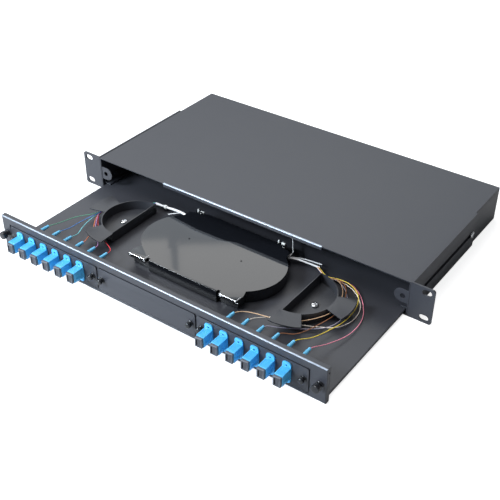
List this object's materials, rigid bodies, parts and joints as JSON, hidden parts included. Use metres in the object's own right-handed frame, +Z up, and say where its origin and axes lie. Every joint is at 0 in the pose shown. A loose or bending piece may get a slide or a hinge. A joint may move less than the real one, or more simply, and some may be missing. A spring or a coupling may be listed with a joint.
{
  "type": "fiber termination box",
  "caption": "Rack-mount fibre termination box with a pull-out drawer, adapter plates, dust caps, fibre guides and a splice tray.",
  "frame": {"origin": "centre of the chassis underside", "axes": "+X to the right along the front panel, -Y out of the front, +Z up"},
  "size_m": [0.4826, 0.4047, 0.044],
  "materials": {
    "powder_coat": "black powder coat, fine texture, semi-matt",
    "nickel": "bright nickel",
    "rubber": "matt",
    "adapter_blue": "moulded blue plastic",
    "pigtail": "blue boots and coloured fibre jackets",
    "cap_black": "matt moulded plastic",
    "black_nylon": "black nylon",
    "tray_plastic": "glossy black plastic"
  },
  "bodies": {
    "chassis": {"chassis_base": "powder_coat", "top_cover": "powder_coat", "tray_rail_left": "powder_coat", "tray_rail_right": "powder_coat", "ear_screw_left": "nickel", "ear_screw_right": "nickel", "cable_grommet_left": "rubber", "cable_grommet_right": "rubber"},
    "drawer": {"drawer_tray": "powder_coat", "front_panel": "powder_coat", "adapter_plate_left": "powder_coat", "blank_plate": "powder_coat", "adapter_plate_right": "powder_coat", "sc_adapter_1": "adapter_blue", "sc_adapter_2": "adapter_blue", "sc_adapter_3": "adapter_blue", "sc_adapter_4": "adapter_blue", "sc_adapter_5": "adapter_blue", "sc_adapter_6": "adapter_blue", "sc_adapter_7": "adapter_blue", "sc_adapter_8": "adapter_blue", "sc_adapter_9": "adapter_blue", "sc_adapter_10": "adapter_blue", "sc_adapter_11": "adapter_blue", "sc_adapter_12": "adapter_blue", "fibre_guide_left": "powder_coat", "guide_screw_left": "nickel", "fibre_guide_right": "powder_coat", "guide_screw_right": "nickel", "splice_tray_base": "tray_plastic", "pigtails_left": "pigtail", "pigtails_right": "pigtail"},
    "ear_left": {"rack_ear_left": "powder_coat"},
    "ear_right": {"rack_ear_right": "powder_coat"},
    "splice_lid": {"splice_tray_lid": "tray_plastic"},
    "lock_plunger_left": {"lock_plunger_left": "black_nylon"},
    "lock_plunger_right": {"lock_plunger_right": "black_nylon"},
    "plate_latch_1": {"plate_latch_1": "black_nylon"},
    "plate_latch_2": {"plate_latch_2": "black_nylon"},
    "plate_latch_3": {"plate_latch_3": "black_nylon"},
    "plate_latch_4": {"plate_latch_4": "black_nylon"},
    "plate_latch_5": {"plate_latch_5": "black_nylon"},
    "plate_latch_6": {"plate_latch_6": "black_nylon"},
    "dust_cap_1": {"dust_cap_1": "cap_black"},
    "dust_cap_2": {"dust_cap_2": "cap_black"},
    "dust_cap_3": {"dust_cap_3": "cap_black"},
    "dust_cap_4": {"dust_cap_4": "cap_black"},
    "dust_cap_5": {"dust_cap_5": "cap_black"},
    "dust_cap_6": {"dust_cap_6": "cap_black"},
    "dust_cap_7": {"dust_cap_7": "cap_black"},
    "dust_cap_8": {"dust_cap_8": "cap_black"},
    "dust_cap_9": {"dust_cap_9": "cap_black"},
    "dust_cap_10": {"dust_cap_10": "cap_black"},
    "dust_cap_11": {"dust_cap_11": "cap_black"},
    "dust_cap_12": {"dust_cap_12": "cap_black"}
  },
  "joints": [
    {"name": "drawer_slide", "type": "slide", "parent": "chassis", "child": "drawer", "axis": [0, -1, 0], "range_m": [-0.152, 0]},
    {"name": "ear_left_adjust", "type": "slide", "parent": "chassis", "child": "ear_left", "axis": [0, 1, 0], "range_m": [0, 0.13]},
    {"name": "ear_right_adjust", "type": "slide", "parent": "chassis", "child": "ear_right", "axis": [0, 1, 0], "range_m": [0, 0.13]},
    {"name": "splice_lid_hinge", "type": "hinge", "parent": "drawer", "child": "splice_lid", "pos_m": [0, -0.2168, 0.0166], "axis": [1, 0, 0], "range_deg": [0, 105]},
    {"name": "lock_plunger_left_pull", "type": "slide", "parent": "drawer", "child": "lock_plunger_left", "axis": [0, -1, 0], "range_m": [0, 0.006]},
    {"name": "lock_plunger_right_pull", "type": "slide", "parent": "drawer", "child": "lock_plunger_right", "axis": [0, -1, 0], "range_m": [0, 0.006]},
    {"name": "plate_latch_1_pull", "type": "slide", "parent": "drawer", "child": "plate_latch_1", "axis": [0, -1, 0], "range_m": [0, 0.004]},
    {"name": "plate_latch_2_pull", "type": "slide", "parent": "drawer", "child": "plate_latch_2", "axis": [0, -1, 0], "range_m": [0, 0.004]},
    {"name": "plate_latch_3_pull", "type": "slide", "parent": "drawer", "child": "plate_latch_3", "axis": [0, -1, 0], "range_m": [0, 0.004]},
    {"name": "plate_latch_4_pull", "type": "slide", "parent": "drawer", "child": "plate_latch_4", "axis": [0, -1, 0], "range_m": [0, 0.004]},
    {"name": "plate_latch_5_pull", "type": "slide", "parent": "drawer", "child": "plate_latch_5", "axis": [0, -1, 0], "range_m": [0, 0.004]},
    {"name": "plate_latch_6_pull", "type": "slide", "parent": "drawer", "child": "plate_latch_6", "axis": [0, -1, 0], "range_m": [0, 0.004]},
    {"name": "dust_cap_1_pull", "type": "slide", "parent": "drawer", "child": "dust_cap_1", "axis": [0, -1, 0], "range_m": [0, 0.012]},
    {"name": "dust_cap_2_pull", "type": "slide", "parent": "drawer", "child": "dust_cap_2", "axis": [0, -1, 0], "range_m": [0, 0.012]},
    {"name": "dust_cap_3_pull", "type": "slide", "parent": "drawer", "child": "dust_cap_3", "axis": [0, -1, 0], "range_m": [0, 0.012]},
    {"name": "dust_cap_4_pull", "type": "slide", "parent": "drawer", "child": "dust_cap_4", "axis": [0, -1, 0], "range_m": [0, 0.012]},
    {"name": "dust_cap_5_pull", "type": "slide", "parent": "drawer", "child": "dust_cap_5", "axis": [0, -1, 0], "range_m": [0, 0.012]},
    {"name": "dust_cap_6_pull", "type": "slide", "parent": "drawer", "child": "dust_cap_6", "axis": [0, -1, 0], "range_m": [0, 0.012]},
    {"name": "dust_cap_7_pull", "type": "slide", "parent": "drawer", "child": "dust_cap_7", "axis": [0, -1, 0], "range_m": [0, 0.012]},
    {"name": "dust_cap_8_pull", "type": "slide", "parent": "drawer", "child": "dust_cap_8", "axis": [0, -1, 0], "range_m": [0, 0.012]},
    {"name": "dust_cap_9_pull", "type": "slide", "parent": "drawer", "child": "dust_cap_9", "axis": [0, -1, 0], "range_m": [0, 0.012]},
    {"name": "dust_cap_10_pull", "type": "slide", "parent": "drawer", "child": "dust_cap_10", "axis": [0, -1, 0], "range_m": [0, 0.012]},
    {"name": "dust_cap_11_pull", "type": "slide", "parent": "drawer", "child": "dust_cap_11", "axis": [0, -1, 0], "range_m": [0, 0.012]},
    {"name": "dust_cap_12_pull", "type": "slide", "parent": "drawer", "child": "dust_cap_12", "axis": [0, -1, 0], "range_m": [0, 0.012]}
  ]
}
